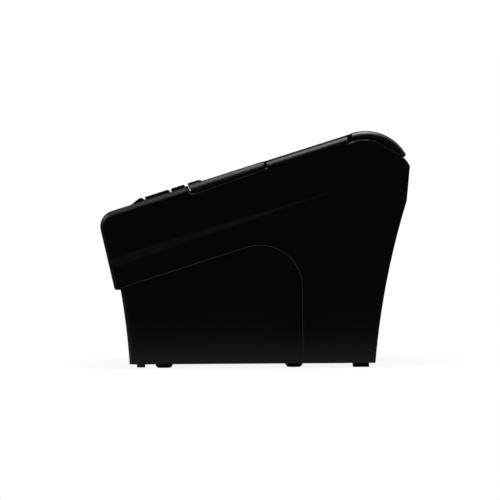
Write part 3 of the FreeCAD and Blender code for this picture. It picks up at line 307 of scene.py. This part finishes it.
# Gilded spring wires slope down from the roof of the network and drawer sockets,
# and flat gilded strips lie on the tongue of the data socket.
material, shader, field = finish("gilded_contact", metallic=1.0)
tarnish = field.noise(600.0, 3.0).step(0.4, 0.8)
connect(shader,
        base_color=tarnish.blend(colour(0.90, 0.66, 0.30), colour(0.66, 0.44, 0.18)),
        roughness=0.22 + 0.16 * tarnish)
wire = (0.00045, 0.0085, 0.0003)
wire_pitch = 0.00102
wire_tilt = Euler((math.radians(-14.0), 0.0, 0.0))
wire_drop = 0.0030
wire_set_in = 0.0060
strip = (0.0010, 0.0090, 0.0001)
strip_half_pitch = 0.00125
strip_set_in = 0.0078
contacts = bmesh.new()
for socket, count in (("lan_socket", 8), ("drawer_socket", 6)):
    low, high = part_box(socket)
    for index in range(count):
        spot = ((low[0] + high[0]) / 2 + (index - (count - 1) / 2) * wire_pitch,
                low[1] + wire_set_in, high[2] - wire_drop)
        block(contacts, spot, wire, wire_tilt)
low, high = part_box("usb_socket")
for side, rise in ((-1, 1), (1, 1), (-1, -1), (1, -1)):
    spot = ((low[0] + high[0]) / 2 + side * strip_half_pitch, low[1] + strip_set_in,
            (low[2] + high[2]) / 2 + rise * (tongue_half_height + sleeve_wall))
    block(contacts, spot, strip)
added("socket_contacts", contacts, material)

# Two small light guides of tinted acrylic are pressed into the sill of the network
# socket. The green one shows the link and the amber one the traffic.
guide = (0.0030, 0.0012, 0.0012)
guide_offset = 0.0045
guide_set_back, guide_rise = 0.0005, 0.0010
guide_round = 0.00025
guide_shade = 0.7


def rounded(shape, radius, segments):
    """Rounds every edge of a bmesh."""
    bmesh.ops.bevel(shape, geom=shape.edges[:], offset=radius, offset_type="OFFSET",
                    segments=segments, profile=0.5, affect="EDGES", material=-1)


low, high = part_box("lan_socket")
for name, side, tint in (("link_lamp", -1, (0.10, 0.42, 0.12)),
                         ("traffic_lamp", 1, (0.62, 0.40, 0.06))):
    material, shader, field = finish(name, specular=0.5, coat=0.4)
    cloud = field.noise(900.0, 2.0)
    shaded = [guide_shade * part for part in tint]
    connect(shader,
            base_color=cloud.blend(colour(*tint), colour(*shaded)),
            roughness=0.25 + 0.1 * cloud)
    lamp = bmesh.new()
    block(lamp, ((low[0] + high[0]) / 2 + side * guide_offset, high[1] - guide_set_back,
                 low[2] + guide_rise), guide)
    rounded(lamp, guide_round, 3)
    added(name, lamp, material)

# Inside, the roll tray, the cutter body and the frame of the cover are plain
# polystyrene mouldings, a little greyer and duller than the outside.
tray_grey = moulding(
    "inner_moulding", dark=colour(0.016, 0.016, 0.017), light=colour(0.024, 0.024, 0.025),
    edge_wear_and_highlight=colour(0.030, 0.030, 0.031), rough=0.46, specular=0.40, grain=900.0)
dress(tray_grey, "roll_bucket", "cutter_frame", "cover_liner", "near_end_sensor")

# Gears and platen bushes are moulded in natural acetal, slightly waxy and
# translucent-looking, with a film of grease that takes up grey dust.
material, shader, field = finish("acetal", specular=0.45)
grease = field.noise(180.0, 4.0).step(0.45, 0.75)
connect(shader,
        base_color=grease.blend(colour(0.66, 0.64, 0.57), colour(0.42, 0.41, 0.37)),
        roughness=0.42 - 0.16 * grease,
        normal=field.noise(900.0).bump(0.08, 0.0001))
dress(material, "platen_gear", "idler_gear", "motor_pinion", "platen_bushes")

# Shafts, pins, blades and the leaf spring are ground steel, with the marks of the
# grinding wheel across them. The tear bar is the same steel, blackened.
across_bar = (1.0, 0.08, 0.08)
ground = sheet_steel(
    "ground_steel", dark=colour(0.30, 0.30, 0.31), light=colour(0.55, 0.55, 0.56),
    rough=0.16, stretch=across_bar)
dress(ground, "platen_shaft", "idler_pin", "motor_shaft", "hinge_pins", "moving_blade",
      "fixed_blade", "head_spring")
black_steel = sheet_steel(
    "blackened_steel", dark=colour(0.026, 0.026, 0.028), light=colour(0.060, 0.060, 0.063),
    rough=0.30, stretch=across_bar)
dress(black_steel, "tear_bar")

# The thermal head is a strip of glazed ceramic, glued to an extruded aluminium
# heat sink behind it.
material, shader, field = finish("glazed_ceramic", specular=0.6, coat=0.5)
speckle = field.noise(700.0, 3.0).step(0.5, 0.8)
connect(shader,
        base_color=speckle.blend(colour(0.70, 0.68, 0.62), colour(0.58, 0.55, 0.48)),
        roughness=0.16 + 0.12 * speckle)
dress(material, "thermal_head")
sink = sheet_steel(
    "extruded_aluminium", dark=colour(0.46, 0.47, 0.48), light=colour(0.68, 0.69, 0.70),
    rough=0.34, stretch=(0.05, 1.0, 1.0))
dress(sink, "heat_sink")

# The heating dots lie in one dark line of glaze across the head, where the platen
# presses the paper on it. The glaze is fired on as a low rounded ridge.
material, shader, field = finish("heater_glaze", specular=0.6, coat=0.6)
dots = field.noise(2000.0, 1.0, (4.0, 0.2, 0.2))
connect(shader,
        base_color=dots.blend(colour(0.060, 0.034, 0.022), colour(0.110, 0.062, 0.036)),
        roughness=0.14 + 0.08 * dots)
ridge = (0.0720, 0.0001, 0.0010)
ridge_along, ridge_above = 0.05656, -0.0160
ridge_round = 0.00004
heater_line = bmesh.new()
block(heater_line, on_deck(0.0, ridge_along, ridge_above), ridge, Euler((slope, 0.0, 0.0)))
rounded(heater_line, ridge_round, 2)
added("heater_line", heater_line, material)

# The platen is a steel shaft with a ground rubber sleeve that presses the paper
# against the head. Paper dust leaves a pale bloom on it.
material, shader, field = finish("platen_rubber", specular=0.3)
bloom = field.noise(120.0, 5.0, (1.0, 0.3, 0.3)).step(0.4, 0.9)
connect(shader,
        base_color=bloom.blend(colour(0.012, 0.012, 0.012), colour(0.05, 0.05, 0.05)),
        roughness=0.62 + 0.18 * bloom,
        normal=field.noise(2400.0, 2.0, (0.1, 1.0, 1.0)).bump(0.15, 0.00008))
dress(material, "platen_roller")

# The roll cover, the paper exit, the panel and the small flap are moulded in a
# black much like that of the housing, with a slightly glossier skin.
# Its edge colour too is partly rubbing wear and partly a painted highlight.
cover_black = moulding(
    "cover_abs", dark=colour(0.0022, 0.0022, 0.0023), light=colour(0.0042, 0.0042, 0.0044),
    edge_wear_and_highlight=colour(0.012, 0.012, 0.013), rough=0.24, specular=0.66, grain=1300.0)
dress(cover_black, "paper_cover", "exit_frame", "operation_panel", "cutter_cover")

# The keys and the rocker are dark grey caps with a finer grain. They slide or tilt in the housing.
# Their rounded edges are painted a little lighter, partly as rubbing wear and partly as a painted
# highlight.
key_grey = moulding(
    "key_cap", dark=colour(0.020, 0.020, 0.021), light=colour(0.030, 0.030, 0.031),
    edge_wear_and_highlight=colour(0.034, 0.034, 0.035), rough=0.36, specular=0.45, grain=1900.0)
dress(key_grey, "feed_button", "release_button", "power_rocker")

# Three lamp lenses are clear acrylic pegs with a milky core, set in the panel
# beside the feed key.
material, shader, field = finish("lamp_acrylic", specular=0.6, coat=0.6)
milk = field.noise(500.0, 3.0)
connect(shader,
        base_color=milk.blend(colour(0.20, 0.24, 0.20), colour(0.42, 0.46, 0.42)),
        roughness=0.12 + 0.1 * milk)
dress(material, "status_lenses")

# The printer stands on a pale matt table top, which the camera sees as white with
# the printer's soft shadow on it.
floor_half = 0.17
floor_rough = 0.7
floor_glow, floor_glow_share = 1.20, 0.75
table = bmesh.new()
bmesh.ops.create_grid(table, x_segments=1, y_segments=1, size=floor_half)
floor_mesh = bpy.data.meshes.new("table_top")
table.to_mesh(floor_mesh)
table.free()
floor = bpy.data.objects.new("table_top", floor_mesh)
bpy.context.collection.objects.link(floor)
material, shader, field = finish("white_table", specular=0.2)
shader.inputs["Roughness"].default_value = floor_rough
haze = field.noise(6.0, 2.0)
connect(shader, base_color=haze.blend(colour(0.36, 0.36, 0.36), colour(0.40, 0.40, 0.40)))
lit = Field(field.tree, shader.outputs[0])
glow = field.node("ShaderNodeEmission", None,
                  {"Color": colour(1.0, 1.0, 1.0), "Strength": floor_glow})
sight = field.node("ShaderNodeLightPath", out="Is Camera Ray") * floor_glow_share
mixed = field.node("ShaderNodeMixShader", None, {0: sight, 1: lit, 2: glow})
field.tree.links.new(mixed.socket, field.tree.nodes["Material Output"].inputs["Surface"])
floor_mesh.materials.append(material)

# The background is white. Gloss mirrors a pale cove with dark curtains on the near
# side, on the far side and in front, and everything else is lit by a dim room.
world = bpy.data.worlds.new("studio")
world.use_nodes = True
bpy.context.scene.world = world
sky = Field(world.node_tree)
backdrop = world.node_tree.nodes["Background"]
seen = sky.node("ShaderNodeLightPath", out="Is Camera Ray")
through = sky.node("ShaderNodeLightPath", out="Is Transmission Ray")
mirrored = sky.node("ShaderNodeLightPath", out="Is Glossy Ray")
direction = sky.node("ShaderNodeTexCoord", out="Generated")
sideways, forward, height = direction.part("X"), direction.part("Y"), direction.part("Z")
near = sideways.step(0.25, 0.80) * (1.0 - height.step(0.35, 0.47))
far = (0.0 - sideways).step(0.10, 0.50) * (1.0 - height.step(0.70, 0.98))
behind = (0.0 - sideways).step(0.45, 0.85) * (1.0 - height.step(0.20, 0.50))
front = (0.0 - forward).step(0.25, 0.70) * (1.0 - height.step(0.10, 0.40))
zenith = height.step(0.35, 0.85) * (1.0 - forward.step(0.25, 0.60))
cove = (0.78 * (1.0 - 0.98 * near) * (1.0 - 0.70 * far) * (1.0 - 0.90 * behind)
        * (1.0 - 0.85 * front) * (1.0 - 0.44 * zenith))
room = 0.06 + 0.50 * height.step(0.05, 0.95)
shown = sky.math("MAXIMUM", seen, through)
strength = shown + (1.0 - shown) * (mirrored * cove + (1.0 - mirrored) * room)
world.node_tree.links.new(strength.socket, backdrop.inputs["Strength"])
backdrop.inputs["Color"].default_value = colour(1.0, 1.0, 1.0)


# Three long soft boxes hang overhead towards the camera's side, so that the rounded
# edges of deck, cover and hump catch them. One box stands in front and one behind.
def soft_box(name, place, aim, size, power):
    lamp = bpy.data.lights.new(name, "AREA")
    lamp.shape = "RECTANGLE"
    lamp.size, lamp.size_y = size
    lamp.energy = power
    holder = bpy.data.objects.new(name, lamp)
    holder.location = place
    bpy.context.collection.objects.link(holder)
    ahead = [a - p for a, p in zip(aim, place)]
    tilt = math.atan2(math.hypot(ahead[0], ahead[1]), -ahead[2])
    turn = math.atan2(ahead[0], -ahead[1]) + math.pi
    holder.rotation_euler = (tilt, 0.0, turn)


soft_box("overhead_box", place=(0.36, 0.06, 1.1), aim=(0.36, 0.06, 0.1),
         size=(0.96, 0.18), power=4.6)
soft_box("forward_box", place=(0.36, -0.165, 1.08), aim=(0.36, -0.15, 0.1),
         size=(0.96, 0.20), power=3.2)
soft_box("hump_box", place=(0.36, 0.25, 1.06), aim=(0.36, 0.20, 0.1),
         size=(0.96, 0.18), power=2.4)
soft_box("front_box", place=(0.35, -0.95, 0.85), aim=(0.0, -0.08, 0.08),
         size=(0.6, 0.4), power=2.2)
soft_box("rear_box", place=(-0.1, 0.95, 0.75), aim=(0.0, 0.08, 0.1),
         size=(0.6, 0.5), power=1.5)

# The camera looks level at the right-hand side from about 1.8 m, with a long lens
# and a very slight roll.
lens = bpy.data.cameras.new("camera")
lens.lens = 200.0
lens.sensor_width = 36.0
camera = bpy.data.objects.new("camera", lens)
camera.location = (1.7985, -0.00328, 0.07367)
camera.rotation_euler = (math.radians(90.0), math.radians(0.4), math.radians(90.0))
bpy.context.collection.objects.link(camera)
bpy.context.scene.camera = camera
bpy.context.scene.view_settings.view_transform = "Standard"
